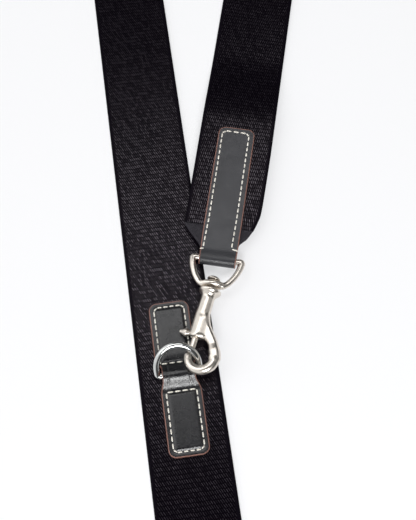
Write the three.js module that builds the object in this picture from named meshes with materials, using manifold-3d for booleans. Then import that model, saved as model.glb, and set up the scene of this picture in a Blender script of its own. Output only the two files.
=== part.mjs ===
// An elastic horse martingale, laid flat.
// A long elastic strap carries a D-ring under a leather chest tab, and a second elastic strap, the
// right arm, is clipped to that ring with a trigger snap. Every end of the straps has the same
// fittings: a folded leather tab, a D-shaped swivel eye and a trigger snap.
// Millimetres, +Z up. The origin is under the bar of the chest ring, on the back of the main
// strap, and +Y runs along the main strap towards the saddle.

import * as THREE from 'three';
import { mergeVertices } from 'three/addons/utils/BufferGeometryUtils.js';
import { ParametricGeometry } from 'three/addons/geometries/ParametricGeometry.js';
import Module from 'manifold-3d';

const wasm = await Module();
wasm.setup();

const GAP = 0.3;
const TURN = 2 * Math.PI;
const degrees = THREE.MathUtils.degToRad;

// Straps
const WEBBING_WIDTH = 50;
const WEBBING_THICKNESS = 2.4;
const WEBBING_MIDDLE = WEBBING_THICKNESS / 2;
const FLEX_SPACING = 2 * WEBBING_MIDDLE + 0.4;
const CHEST_START = -95;
const CHEST_END = 295;
const STRETCH_GAP = 0.4;
const LEFT_FLEX = 380;
const LOWER_FLEX = -165;
const RIGHT_STRETCH = 235;
const RIGHT_FLEX = 320;
const END_LENGTH = 165;

// The folded end of an arm: its webbing is cut to a point inside a folded binding
const BINDING_START = 11;
const BINDING_END = 27;
const SLOPE_START = 106;
const CHEST_SLOPE = 56;
const END_SLOPE = 34;

// Leather
const LEATHER_THICKNESS = 1.6;
const CORNER_RADIUS = 5;
const ARM_TAB_WIDTH = 24.4;
const FOLD_WIDTH = 23.6;
const FOLD_SLACK = 0.45;
const ARM_TAB_LENGTH = 99.2;
const CHEST_TAB_TOP = 46.7;
const CHEST_TAB_BOTTOM = -50.6;
const CHEST_TAB_UPPER = { left: -13.6, right: 11.7, shoulder: 6 };
const CHEST_TAB_LOWER = { left: -12.2, right: 12.7, shoulder: -9 };
const NECK_HALF_WIDTH = 10.15;
const HUMP_LENGTH = 9.5;

// Chest ring
const RING_WIRE = 2.05;
const RING_HALF_WIDTH = 13.2;
const RING_LEG = 4.5;
const RING_DEPTH = 19.5;
const RING_BAR_Y = -0.5;
const RING_BAR_Z = WEBBING_THICKNESS + GAP + RING_WIRE;
const RING_TILT = degrees(40.5);

// Swivel eye: a D of wire with a boss that the snap's rivet turns in
const EYE_WIRE = 1.95;
const EYE_DEPTH = 18.8;
const EYE_SIDE = [[15.7, 0], [15, 5.4], [13.2, 10.5], [11.2, 14.2], [9, 17], [6.6, EYE_DEPTH]];
const BOSS_OFFSET = 0.9;
const BOSS_HALF_WIDTH = 7.4;
const BOSS_HALF_HEIGHT = 4.2;
const BOSS_LENGTH = 3.6;
const BOSS_HOLE = 2.3;

// Trigger snap, measured along its axis from the middle of the boss
const FLANGE_TOP = 3.4;
const FLANGE_RADIUS = 7.2;
const BARREL_RADIUS = 4.6;
const BARREL_END = 36;
const BORE_RADIUS = 2.2;
const BORE_START = 11;
const RIVET_RADIUS = 1.4;
const RIVET_HOLE = RIVET_RADIUS + 0.35;
const RIVET_END = BORE_START - 0.5;
const RIVET_HEAD_RADIUS = 4.2;
const RIVET_HEAD_HEIGHT = 2.5;
const COLLAR_HEIGHT = 1.9;
const BOLT_RADIUS = 1.9;
const BOLT_START = 22;
const BOLT_END = 43.4;
const THUMB_ALONG = 34;
const THUMB_PROFILE = [[0, 5.6], [2.2, 5.6], [2.7, 6.5], [2.6, 7.8], [1.3, 10.5], [0.7, 11.1], [0, 11.2]];
const STEM_RADIUS = 1.3;
const SLOT_START = 23.9;
const SLOT_HALF_WIDTH = 1.65;
const SPRING_RADIUS = 1.55;
const SPRING_WIRE = 0.3;
const SPRING_TURNS = 5;
const HOOK_CENTRE = new THREE.Vector2(7.8, -47.1);
const HOOK_OUTER = 11.25;
const HOOK_THICKNESS = 4.6;

// The bow of the hook from the shank round to its tip: the angle and half of the thickness
const HOOK_BOW = [
  { angle: 40, half: 3 },
  { angle: 0, half: 3.2 },
  { angle: -70, half: 3.1 },
  { angle: -115, half: 2.75 },
  { angle: -150, half: 2.4 },
  { angle: -171, half: 2.15 },
];

// Where the fittings lie
const RIGHT_ARM_PLACE = new THREE.Vector3(33.2, 65.9, 0);
const RIGHT_ARM_ANGLE = degrees(-16.5);
const RIGHT_ARM_MIDDLE = 6.9;
const END_MIDDLE = 3.95;
const CHEST_SNAP_YAW = degrees(-8.4);
const CHEST_EYE_PITCH = degrees(-8);
const CHEST_SNAP_PITCH = degrees(-1.5);
const CHEST_SNAP_ROLL = degrees(-11);
const END_EYE_PITCH = degrees(-11.1);
const END_SNAP_PITCH = degrees(3.8);

const LEATHER = { color: 0x1b1b1d, roughness: 0.42, metalness: 0 };
const ELASTIC = { color: 0x0b0b0d, roughness: 0.95, metalness: 0 };
const BINDING = { color: 0x101012, roughness: 0.85, metalness: 0 };
const CHROME = { color: 0xdedede, roughness: 0.08, metalness: 1 };
const NICKEL = { color: 0xc9c4bc, roughness: 0.25, metalness: 1 };
const SPRING_STEEL = { color: 0x9a9a9a, roughness: 0.35, metalness: 1 };

// Solids from three.js geometry, joined and cut by manifold-3d.

function signedVolume(position, index) {
  const corners = [new THREE.Vector3(), new THREE.Vector3(), new THREE.Vector3()];
  let total = 0;
  for (let i = 0; i < index.length; i += 3) {
    corners.forEach((corner, k) => corner.fromBufferAttribute(position, index[i + k]));
    total += corners[0].dot(corners[1].cross(corners[2])) / 6;
  }
  return total;
}

function solid(geometry) {
  const bare = geometry.clone();
  bare.deleteAttribute('normal');
  bare.deleteAttribute('uv');
  const merged = mergeVertices(bare);
  const index = [];
  for (let i = 0; i < merged.index.count; i += 3) {
    const [a, b, c] = [0, 1, 2].map((k) => merged.index.getX(i + k));
    if (a !== b && b !== c && c !== a) {
      index.push(a, b, c);
    }
  }
  if (signedVolume(merged.attributes.position, index) < 0) {
    index.reverse();
  }
  return new wasm.Manifold(
    new wasm.Mesh({
      numProp: 3,
      vertProperties: new Float32Array(merged.attributes.position.array),
      triVerts: new Uint32Array(index),
    }),
  );
}

function union(geometries) {
  return geometries.map(solid).reduce((whole, piece) => whole.add(piece));
}

function part(name, shape, finish) {
  const result = shape.getMesh();
  const geometry = new THREE.BufferGeometry();
  geometry.setAttribute('position', new THREE.BufferAttribute(result.vertProperties, 3));
  geometry.setIndex(new THREE.BufferAttribute(result.triVerts, 1));
  geometry.computeVertexNormals();
  const mesh = new THREE.Mesh(geometry, new THREE.MeshStandardMaterial(finish));
  mesh.name = name;
  return mesh;
}

function rod(points, radius, sides, steps) {
  const section = new THREE.Shape();
  section.absarc(0, 0, radius, 0, TURN);
  const path = new THREE.CatmullRomCurve3(points);
  return new THREE.ExtrudeGeometry(section, {
    steps,
    curveSegments: sides / 2,
    extrudePath: path,
  });
}

function cylinderAlongY(radius, from, to, sides) {
  const geometry = new THREE.CylinderGeometry(radius, radius, to - from, sides);
  return geometry.translate(0, (from + to) / 2, 0);
}

function cylinderAlongX(radius, from, to, sides) {
  const geometry = new THREE.CylinderGeometry(radius, radius, to - from, sides);
  return geometry.rotateZ(Math.PI / 2).translate((from + to) / 2, 0, 0);
}

function ball(radius, x, y) {
  return new THREE.SphereGeometry(radius, 10, 7).translate(x, y, 0);
}

function turned(profile, sides) {
  const points = profile.map(([radius, y]) => new THREE.Vector2(radius, y));
  return new THREE.LatheGeometry(points, sides);
}

// An outline of straight sides with rounded corners, each corner as [x, y, radius].
function roundedOutline(corners) {
  const outline = new THREE.Shape();
  corners.forEach(([x, y, radius], i) => {
    const here = new THREE.Vector2(x, y);
    const [before, after] = [corners.at(i - 1), corners[(i + 1) % corners.length]].map(([u, v]) => {
      const side = new THREE.Vector2(u, v).sub(here);
      return here.clone().add(side.setLength(radius));
    });
    if (i === 0) {
      outline.moveTo(before.x, before.y);
    } else {
      outline.lineTo(before.x, before.y);
    }
    outline.quadraticCurveTo(x, y, after.x, after.y);
  });
  return outline;
}

function prism(outline, height = 60) {
  const geometry = new THREE.ExtrudeGeometry(outline, {
    depth: height,
    bevelEnabled: false,
    curveSegments: 4,
  });
  return geometry.translate(0, 0, -height / 2);
}

// A strip of even thickness that follows a side view line of (y, z) points, as wide as asked.
function strip(line, thickness, width) {
  const sides = [1, -1].map((side) =>
    line.map((point, i) => {
      const ahead = line[Math.min(i + 1, line.length - 1)];
      const behind = line[Math.max(i - 1, 0)];
      const along = ahead.clone().sub(behind).normalize();
      const out = new THREE.Vector2(-along.y, along.x);
      return point.clone().addScaledVector(out, (side * thickness) / 2);
    }),
  );
  const outline = new THREE.Shape([...sides[0], ...sides[1].reverse()]);
  const geometry = new THREE.ExtrudeGeometry(outline, { depth: width, bevelEnabled: false });
  geometry.translate(0, 0, -width / 2);
  const sideways = new THREE.Matrix4().makeBasis(
    new THREE.Vector3(0, 1, 0),
    new THREE.Vector3(0, 0, 1),
    new THREE.Vector3(1, 0, 0),
  );
  return geometry.applyMatrix4(sideways);
}

// Straps

// A flat run of webbing along Y; an end that flexes is rounded about its own middle line.
function flatWebbing(from, to, roundFrom, roundTo) {
  const pieces = [
    strip(
      [new THREE.Vector2(from, WEBBING_MIDDLE), new THREE.Vector2(to, WEBBING_MIDDLE)],
      WEBBING_THICKNESS,
      WEBBING_WIDTH,
    ),
  ];
  for (const [end, round] of [[from, roundFrom], [to, roundTo]]) {
    if (round) {
      const nose = cylinderAlongX(WEBBING_MIDDLE, -WEBBING_WIDTH / 2, WEBBING_WIDTH / 2, 16);
      pieces.push(nose.translate(0, end, WEBBING_MIDDLE));
    }
  }
  return union(pieces);
}

// The height of the middle of an arm's webbing: level in its tab, then down to the floor.
function armLine(from, to, level, slope) {
  const line = [];
  const steps = 14;
  for (let i = 0; i <= steps; i += 1) {
    const y = from + ((to - from) * i) / steps;
    const down = THREE.MathUtils.smoothstep(y, SLOPE_START, SLOPE_START + slope);
    line.push(new THREE.Vector2(y, THREE.MathUtils.lerp(level, WEBBING_MIDDLE, down)));
  }
  return line;
}

function armWebbing(name, to, level, slope, roundEnd) {
  const bend = SLOPE_START + slope;
  const start = BINDING_END + GAP;
  const half = WEBBING_WIDTH / 2;
  const sloped = solid(strip(armLine(start, bend, level, slope), WEBBING_THICKNESS, WEBBING_WIDTH));
  const whole = sloped.add(flatWebbing(bend - 0.5, to, false, roundEnd));
  const outline = new THREE.Shape();
  outline.moveTo(-half - 1, start - 1);
  outline.lineTo(20.2, start - 1);
  outline.splineThru([
    new THREE.Vector2(22, 32),
    new THREE.Vector2(23.6, 39),
    new THREE.Vector2(24.2, 52),
    new THREE.Vector2(half, 84),
    new THREE.Vector2(half + 1, 100),
  ]);
  outline.lineTo(half + 1, to + 5);
  outline.lineTo(-half - 1, to + 5);
  return part(name, whole.intersect(solid(prism(outline))), ELASTIC);
}

function armBinding(name, level) {
  const outline = new THREE.Shape();
  outline.moveTo(-12.8, BINDING_START);
  outline.lineTo(-13.6, 13);
  outline.lineTo(-20, 19.7);
  outline.lineTo(-WEBBING_WIDTH / 2, 25.6);
  outline.lineTo(-WEBBING_WIDTH / 2, BINDING_END);
  outline.lineTo(20.3, BINDING_END);
  outline.splineThru([
    new THREE.Vector2(17, 20.7),
    new THREE.Vector2(12.4, 15.3),
    new THREE.Vector2(11.5, BINDING_START),
  ]);
  const cut = prism(outline, WEBBING_THICKNESS).translate(0, 0, level);
  return part(name, solid(cut), BINDING);
}

// Leather

// One strip folded round the bar of an eye, with the webbing between its two leaves.
function armTab(name, level) {
  const foldRadius = EYE_WIRE + GAP + LEATHER_THICKNESS / 2;
  const leafOffset = WEBBING_MIDDLE + GAP + LEATHER_THICKNESS / 2;
  const bar = foldRadius + LEATHER_THICKNESS / 2;
  const easeEnd = BINDING_START - 0.5;
  const leaf = [];
  for (const y of [ARM_TAB_LENGTH + 1, easeEnd + 0.5]) {
    leaf.push(new THREE.Vector2(y, leafOffset));
  }
  const easeSteps = 4;
  for (let i = 0; i <= easeSteps; i += 1) {
    const y = THREE.MathUtils.lerp(easeEnd, bar, i / easeSteps);
    const swell = THREE.MathUtils.smoothstep(easeEnd - y, 0, easeEnd - bar);
    leaf.push(new THREE.Vector2(y, THREE.MathUtils.lerp(leafOffset, foldRadius, swell)));
  }
  const line = leaf.map((point) => point.clone());
  const foldSteps = 10;
  for (let i = 1; i < foldSteps; i += 1) {
    const angle = Math.PI / 2 + (Math.PI * i) / foldSteps;
    const reach = (foldRadius + FOLD_SLACK) * Math.cos(angle);
    line.push(new THREE.Vector2(bar + reach, foldRadius * Math.sin(angle)));
  }
  for (const point of [...leaf].reverse()) {
    line.push(new THREE.Vector2(point.x, -point.y));
  }
  const folded = strip(line, LEATHER_THICKNESS, ARM_TAB_WIDTH + 2);
  const outline = roundedOutline([
    [-FOLD_WIDTH / 2, -1, 0.5],
    [FOLD_WIDTH / 2, -1, 0.5],
    [ARM_TAB_WIDTH / 2, 20, 2],
    [ARM_TAB_WIDTH / 2, ARM_TAB_LENGTH, CORNER_RADIUS],
    [-ARM_TAB_WIDTH / 2, ARM_TAB_LENGTH, CORNER_RADIUS],
    [-ARM_TAB_WIDTH / 2, 20, 2],
  ]);
  const tab = part(name, solid(folded).intersect(solid(prism(outline))), LEATHER);
  tab.position.z = level;
  return tab;
}

// The chest tab lies flat on the strap on both sides of the ring's bar and humps over it.
function chestTab() {
  const flat = WEBBING_THICKNESS + GAP + LEATHER_THICKNESS / 2;
  const crown = RING_BAR_Z + RING_WIRE + GAP + LEATHER_THICKNESS / 2;
  const line = [new THREE.Vector2(CHEST_TAB_BOTTOM - 1, flat)];
  const steps = 16;
  for (let i = 0; i <= steps; i += 1) {
    const offset = HUMP_LENGTH * ((2 * i) / steps - 1);
    const rise = 0.5 + 0.5 * Math.cos((Math.PI * offset) / HUMP_LENGTH);
    line.push(new THREE.Vector2(RING_BAR_Y + offset, flat + (crown - flat) * rise));
  }
  line.push(new THREE.Vector2(CHEST_TAB_TOP + 1, flat));
  const humped = strip(line, LEATHER_THICKNESS, WEBBING_WIDTH);
  const upper = CHEST_TAB_UPPER;
  const lower = CHEST_TAB_LOWER;
  const outline = roundedOutline([
    [lower.left, CHEST_TAB_BOTTOM, CORNER_RADIUS],
    [lower.right, CHEST_TAB_BOTTOM, CORNER_RADIUS],
    [lower.right, lower.shoulder, 1.5],
    [NECK_HALF_WIDTH, lower.shoulder + 4, 1.5],
    [NECK_HALF_WIDTH, upper.shoulder - 1, 0.8],
    [upper.right, upper.shoulder + 1, 0.8],
    [upper.right, CHEST_TAB_TOP, CORNER_RADIUS],
    [upper.left, CHEST_TAB_TOP, CORNER_RADIUS],
    [upper.left, upper.shoulder + 1, 0.8],
    [-NECK_HALF_WIDTH, upper.shoulder - 1, 0.8],
    [-NECK_HALF_WIDTH, lower.shoulder + 4, 1.5],
    [lower.left, lower.shoulder, 1.5],
  ]);
  return part('chest_tab', solid(humped).intersect(solid(prism(outline))), LEATHER);
}

// Metal

// A closed D of wire: the bar lies on X, and the bow goes from its right end round to its left.
function wireD(bow, radius) {
  const ends = [bow[0], bow.at(-1)];
  return union([
    rod(bow, radius, 10, 24),
    cylinderAlongX(radius, ends[1].x, ends[0].x, 12),
    ...ends.map((end) => ball(radius, end.x, end.y)),
  ]);
}

function chestRing() {
  const bow = new THREE.Path();
  bow.moveTo(RING_HALF_WIDTH, 0);
  bow.lineTo(RING_HALF_WIDTH, RING_LEG);
  bow.absellipse(0, RING_LEG, RING_HALF_WIDTH, RING_DEPTH - RING_LEG, 0, Math.PI, false);
  bow.lineTo(-RING_HALF_WIDTH, 0);
  const points = bow.getSpacedPoints(18).map((point) => new THREE.Vector3(point.x, point.y, 0));
  const ring = part('chest_ring', wireD(points, RING_WIRE), CHROME);
  ring.position.set(0, RING_BAR_Y, RING_BAR_Z);
  ring.rotation.x = RING_TILT;
  return ring;
}

// The eye's own origin is the middle of its bar. Its bow leans a little to the side of its boss.
function swivelEye(name) {
  const lean = (x, y) => new THREE.Vector3(x + (BOSS_OFFSET * y) / EYE_DEPTH, y, 0);
  const right = EYE_SIDE.map(([x, y]) => lean(x, y));
  const left = EYE_SIDE.map(([x, y]) => lean(-x, y)).reverse();
  const boss = cylinderAlongY(1, -BOSS_LENGTH / 2, BOSS_LENGTH / 2, 20);
  boss.scale(BOSS_HALF_WIDTH, 1, BOSS_HALF_HEIGHT);
  boss.translate(BOSS_OFFSET, EYE_DEPTH, 0);
  const hole = cylinderAlongY(BOSS_HOLE, -BOSS_LENGTH, BOSS_LENGTH, 16);
  hole.translate(BOSS_OFFSET, EYE_DEPTH, 0);
  const body = wireD([...right, ...left], EYE_WIRE).add(solid(boss)).subtract(solid(hole));
  const eye = part(name, body, NICKEL);
  eye.rotation.z = Math.PI;
  return eye;
}

// The hook seen from above: a flat shank that leaves the barrel's side and widens into the bow.
function hookShank() {
  const outline = new THREE.Shape();
  outline.moveTo(0, -23);
  outline.lineTo(4.2, -21);
  outline.splineThru([
    new THREE.Vector2(7.7, -26.8),
    new THREE.Vector2(14, -34.9),
    new THREE.Vector2(17.2, -41),
    new THREE.Vector2(18.6, -46),
  ]);
  outline.lineTo(12.7, -47);
  outline.splineThru([
    new THREE.Vector2(11.7, -44),
    new THREE.Vector2(10.3, -40.5),
    new THREE.Vector2(7.2, -37),
    new THREE.Vector2(4.2, -35.4),
  ]);
  outline.lineTo(0, -35.4);
  return prism(outline, HOOK_THICKNESS);
}

// Half of the bow's thickness at an angle, from the stations on both sides of it.
function bowHalf(angle) {
  const next = HOOK_BOW.findIndex((station) => station.angle <= angle);
  const before = HOOK_BOW[Math.max(next - 1, 0)];
  const after = HOOK_BOW[Math.max(next, 1)];
  return THREE.MathUtils.mapLinear(angle, before.angle, after.angle, before.half, after.half);
}

function alongHook(angle, reach, z) {
  const turn = degrees(angle);
  return new THREE.Vector3(
    HOOK_CENTRE.x + reach * Math.cos(turn),
    HOOK_CENTRE.y + reach * Math.sin(turn),
    z,
  );
}

// The bow is round in section, with its outer edge on one circle. The first and the last slice
// only close its ends.
function hookBow() {
  const from = HOOK_BOW[0].angle;
  const tip = HOOK_BOW.at(-1);
  const slices = 20;
  const bar = new ParametricGeometry(
    (around, along, point) => {
      const slice = Math.round(along * (slices + 2)) - 1;
      const angle = THREE.MathUtils.lerp(from, tip.angle, THREE.MathUtils.clamp(slice / slices, 0, 1));
      const half = bowHalf(angle);
      const radius = slice < 0 || slice > slices ? 0 : half;
      const reach = HOOK_OUTER - half + radius * Math.cos(TURN * around);
      point.copy(alongHook(angle, reach, radius * Math.sin(TURN * around)));
    },
    12,
    slices + 2,
  );
  const end = alongHook(tip.angle, HOOK_OUTER - tip.half, 0);
  return [bar, ball(tip.half, end.x, end.y)];
}

function snapBody(name) {
  const barrel = turned(
    [
      [0, -BARREL_END],
      [BARREL_RADIUS - 0.8, -BARREL_END],
      [BARREL_RADIUS - 0.2, -BARREL_END + 0.8],
      [BARREL_RADIUS, -9],
      [BARREL_RADIUS + 0.4, -7],
      [FLANGE_RADIUS - 0.9, -5.8],
      [FLANGE_RADIUS, -4.9],
      [FLANGE_RADIUS, -3.9],
      [FLANGE_RADIUS - 0.7, -FLANGE_TOP],
      [0, -FLANGE_TOP],
    ],
    20,
  );
  const slotLength = BARREL_END + 1 - SLOT_START;
  const slot = new THREE.BoxGeometry(BARREL_RADIUS + 2, slotLength, 2 * SLOT_HALF_WIDTH);
  slot.translate(-(BARREL_RADIUS + 2) / 2, -SLOT_START - slotLength / 2, 0);
  const body = union([barrel, hookShank(), ...hookBow()])
    .subtract(solid(cylinderAlongY(RIVET_HOLE, -BORE_START - 1, 0, 14)))
    .subtract(solid(cylinderAlongY(BORE_RADIUS, -BARREL_END - 8, -BORE_START, 16)))
    .subtract(solid(slot));
  return part(name, body, NICKEL);
}

function snapRivet(name) {
  const seat = BOSS_LENGTH / 2 + COLLAR_HEIGHT;
  const rivet = turned(
    [
      [0, -RIVET_END],
      [RIVET_RADIUS, -RIVET_END],
      [RIVET_RADIUS, seat],
      [RIVET_HEAD_RADIUS, seat],
      [RIVET_HEAD_RADIUS, seat + 0.5],
      [RIVET_HEAD_RADIUS - 1.1, seat + 1.8],
      [0, seat + RIVET_HEAD_HEIGHT],
    ],
    14,
  );
  return part(name, solid(rivet), NICKEL);
}

function snapBolt(name) {
  const bolt = union([
    cylinderAlongY(BOLT_RADIUS, -BOLT_END, -BOLT_START, 16),
    cylinderAlongX(STEM_RADIUS, -THUMB_PROFILE[2][1], 0, 10).translate(0, -THUMB_ALONG, 0),
    turned(THUMB_PROFILE, 12).rotateZ(Math.PI / 2).translate(0, -THUMB_ALONG, 0),
  ]);
  return part(name, bolt, NICKEL);
}

function snapSpring(name) {
  const from = BORE_START + 0.6;
  const to = BOLT_START - 0.6;
  const perTurn = 8;
  const count = SPRING_TURNS * perTurn;
  const points = [];
  for (let i = 0; i <= count; i += 1) {
    const angle = (TURN * i) / perTurn;
    const y = -THREE.MathUtils.lerp(from, to, i / count);
    points.push(
      new THREE.Vector3(SPRING_RADIUS * Math.cos(angle), y, SPRING_RADIUS * Math.sin(angle)),
    );
  }
  return part(name, solid(rod(points, SPRING_WIRE, 6, count)), SPRING_STEEL);
}

// A whole trigger snap: its origin is the middle of the eye's boss, and the hook is on -Y.
function triggerSnap(prefix) {
  const snap = new THREE.Group();
  snap.add(
    snapBody(`${prefix}_snap_body`),
    snapRivet(`${prefix}_snap_rivet`),
    snapBolt(`${prefix}_snap_bolt`),
    snapSpring(`${prefix}_snap_spring`),
  );
  return snap;
}

// Fittings

// The eye hangs on the tab's fold at the origin of its group, and the snap on the eye's boss.
function eyeAndSnap(prefix, level, eyePitch, turns) {
  const hinge = new THREE.Group();
  hinge.position.set(0, EYE_WIRE + GAP + LEATHER_THICKNESS, level);
  hinge.rotation.x = eyePitch;
  const snap = triggerSnap(prefix);
  snap.position.set(-BOSS_OFFSET, -EYE_DEPTH, 0);
  snap.rotation.set(turns.pitch, turns.roll, turns.yaw, 'ZXY');
  hinge.add(swivelEye(`${prefix}_eye`), snap);
  return hinge;
}

// A strap's end in its own frame: the fold is at y = 0 and the webbing runs to +Y.
function strapEnd(prefix) {
  const end = new THREE.Group();
  end.add(
    armTab(`${prefix}_tab`, END_MIDDLE),
    armBinding(`${prefix}_binding`, END_MIDDLE),
    armWebbing(`${prefix}_end_webbing`, END_LENGTH, END_MIDDLE, END_SLOPE, true),
    eyeAndSnap(prefix, END_MIDDLE, END_EYE_PITCH, {
      pitch: END_SNAP_PITCH - END_EYE_PITCH,
      roll: 0,
      yaw: 0,
    }),
  );
  return end;
}

function middleWebbing(name, from, to) {
  return part(name, flatWebbing(from, to, false, true), ELASTIC);
}

function mainStrap() {
  const strap = new THREE.Group();
  const leftStart = CHEST_END + STRETCH_GAP;
  const lowerStart = -CHEST_START + STRETCH_GAP;
  const lowerMiddle = middleWebbing('girth_middle_webbing', lowerStart, -LOWER_FLEX - FLEX_SPACING);
  lowerMiddle.rotation.z = Math.PI;
  const leftEnd = strapEnd('left_saddle');
  leftEnd.position.y = LEFT_FLEX + END_LENGTH;
  leftEnd.rotation.z = Math.PI;
  const girthEnd = strapEnd('girth');
  girthEnd.position.y = LOWER_FLEX - END_LENGTH;
  strap.add(
    part('chest_webbing', flatWebbing(CHEST_START, CHEST_END, false, false), ELASTIC),
    middleWebbing('left_middle_webbing', leftStart, LEFT_FLEX - FLEX_SPACING),
    lowerMiddle,
    leftEnd,
    girthEnd,
    chestTab(),
    chestRing(),
  );
  return strap;
}

function rightArm() {
  const arm = new THREE.Group();
  arm.position.copy(RIGHT_ARM_PLACE);
  arm.rotation.z = RIGHT_ARM_ANGLE;
  const saddleEnd = strapEnd('right_saddle');
  saddleEnd.position.y = RIGHT_FLEX + END_LENGTH;
  saddleEnd.rotation.z = Math.PI;
  arm.add(
    armTab('chest_clip_tab', RIGHT_ARM_MIDDLE),
    armBinding('chest_clip_binding', RIGHT_ARM_MIDDLE),
    armWebbing('right_webbing', RIGHT_STRETCH, RIGHT_ARM_MIDDLE, CHEST_SLOPE, false),
    middleWebbing('right_middle_webbing', RIGHT_STRETCH + STRETCH_GAP, RIGHT_FLEX - FLEX_SPACING),
    saddleEnd,
    eyeAndSnap('chest_clip', RIGHT_ARM_MIDDLE, CHEST_EYE_PITCH, {
      pitch: CHEST_SNAP_PITCH - CHEST_EYE_PITCH,
      roll: CHEST_SNAP_ROLL,
      yaw: CHEST_SNAP_YAW,
    }),
  );
  return arm;
}

const martingale = new THREE.Group();
martingale.add(mainStrap(), rightArm());

export default martingale;
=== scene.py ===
"""The looks of an elastic horse martingale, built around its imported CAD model.

Every shape is made in millimetres in the same local frames as the CAD part, then placed in metres.
A fitting's frame has the fold of its leather tab at y = 0 and its webbing towards +Y. A snap's own
frame starts in the middle of the eye's boss, with its hook towards -Y.
"""

import math

import bpy
import numpy as np
from mathutils import Matrix, Vector


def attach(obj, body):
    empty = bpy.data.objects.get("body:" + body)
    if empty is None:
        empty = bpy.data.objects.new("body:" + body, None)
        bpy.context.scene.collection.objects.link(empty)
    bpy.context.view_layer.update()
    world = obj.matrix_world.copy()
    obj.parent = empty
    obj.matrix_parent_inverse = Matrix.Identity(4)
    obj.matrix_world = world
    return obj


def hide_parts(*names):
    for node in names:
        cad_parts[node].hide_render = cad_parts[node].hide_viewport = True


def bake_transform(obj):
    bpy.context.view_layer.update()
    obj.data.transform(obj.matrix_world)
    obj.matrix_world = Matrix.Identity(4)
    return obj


# Straps, in mm
STRAP_WIDTH = 50.0
STRAP_THICKNESS = 2.4
STRAP_MIDDLE = STRAP_THICKNESS / 2
STRAP_ROUNDING = 1.1
SELVEDGE = 2.3
SELVEDGE_GROOVE = 0.1
ROW_STEP = 0.9
END_ROW = 0.02
WEAVE_ROW = 2.8
WEAVE_PITCH = 1.4
WEAVE_SLANT = 0.5
MAIN_SEAM = -56.0
LEFT_MIDDLE = 337.0
GIRTH_MIDDLE = -129.0
RIGHT_MIDDLE = 277.0
LEFT_FLEX = 380.0
GIRTH_FLEX = -165.0
RIGHT_FLEX = 320.0
FLEX_REACH = 13.0
END_LENGTH = 165.0
SLOPE_START = 106.0
END_SLOPE = 34.0
ARM_SLOPE = 56.0

# Sides of the tapered end and of its tape, as knots of (x, y)
TAPER_RIGHT = ((20.0, 26.0), (21.2, 29.5), (22.4, 33.5), (23.6, 39.0), (24.2, 52.0), (24.8, 84.0))
TAPE_LEFT = ((-12.8, 11), (-13.6, 13), (-20, 19.7), (-25, 25.6), (-25, 27))
TAPE_RIGHT = ((11.5, 11), (12.4, 15.3), (14.6, 18), (17, 20.7), (20.2, 27))
TAPE_START = 11.0
TAPE_END = 27.0
TAPE_FOLD = 14.4
TAPE_LAP = 0.5

# Leather, in mm
LEATHER_THICKNESS = 1.6
LEATHER_GAP = 0.1
CORNER_RADIUS = 5.0
EDGE_SHOWN = 0.55
GROOVE_WIDTH = 0.6
TAB_WIDTH = 24.4
TAB_LENGTH = 99.2
TAB_GROOVE = 0.22
FOLD_WIDTH = 23.6
FOLD_GAP = 0.3
FOLD_SLACK = 0.45
STITCH_INSET = 3.2
STITCH_SHIFT = 0.55
STITCH_PITCH = 4.2
STITCH_LENGTH = 3.0
THREAD_RADIUS = 0.46
CHEST_TAB_TOP = 46.7
CHEST_TAB_BOTTOM = -50.6
CHEST_GROOVE = 0.28
CHEST_PANEL = 0.7
HUMP_LENGTH = 9.5
HUMP_SLACK = 0.12

# Sides of the chest tab as (left, right, y): it is narrower in its hump
CHEST_SIDES = (
    (-12.2, 12.7, CHEST_TAB_BOTTOM),
    (-12.2, 12.7, -11),
    (-11.6, 12.0, -8.2),
    (-10.6, 10.7, -5.6),
    (-10.2, 10.2, -4),
    (-10.2, 10.2, 4),
    (-10.6, 10.4, 5.4),
    (-12.8, 11.2, 6.8),
    (-13.6, 11.7, 8),
    (-13.6, 11.7, CHEST_TAB_TOP),
)

# Ring and eye, in mm
RING_WIRE = 2.05
RING_HALF_WIDTH = 13.2
RING_LEG = 4.5
RING_DEPTH = 19.5
RING_CORNER = 2.0
RING_BAR_Y = -0.5
RING_BAR_Z = 4.75
RING_TILT = 40.5
EYE_WIRE = 1.95
EYE_DEPTH = 18.8
EYE_CORNER = 1.0
EYE_SIDE = ((15.7, 1), (15, 5.4), (13.2, 10.5), (11.2, 14.2), (9, 17), (6.6, EYE_DEPTH))
BOSS_OFFSET = 0.9
BOSS_SIZE = (8.2, 2.9, 4.6)
BOSS_HALF_LENGTH = 2.1
BOSS_HOLE = 2.3

# Snap, in mm, with the hook's half thickness at each angle round its centre
BELL_FACE = -3.4
BARREL_END = -36.0
BORE = 2.2
RIVET_HOLE = 1.75
TRIGGER_SLOT = 1.65
HOOK_CENTRE = (7.8, -47.1)
HOOK_OUTER = 11.25
SHANK_ROUNDING = 2.3
SHANK_HALF = 2.9
HOOK_ANGLES = (-171, -150, -115, -70, 0, 40)
HOOK_HALVES = (2.12, 2.4, 2.75, 3.1, 3.2, 3.0)
PIN_RADIUS = 1.9
PIN_MIDDLE = -32.7
PIN_HALF = 10.7
PIN_CHAMFER = 0.5
TRIGGER_Y = -34.0
KNOB_REACH = (7.1, 9.9)
KNOB_RADIUS = (2.75, 1.3)
SPRING_START = 11.6
SPRING_END = 21.4
SPRING_RADIUS = 1.55
SPRING_WIRE = 0.3
SPRING_TURNS = 5


def moved(x, y, z=0):
    return Matrix.Translation((x, y, z))


def turned_by(degrees, axis):
    return Matrix.Rotation(math.radians(degrees), 4, axis)


def free_end(side, place):
    """A far end of the straps; each is finished in the same way."""
    bodies = (f"{side}_end", f"{side}_eye", f"{side}_snap", f"{side}_bolt")
    return dict(place=place, level=3.95, eye_pitch=-11.1, pitch=14.9, roll=0, yaw=0, bodies=bodies)


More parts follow.
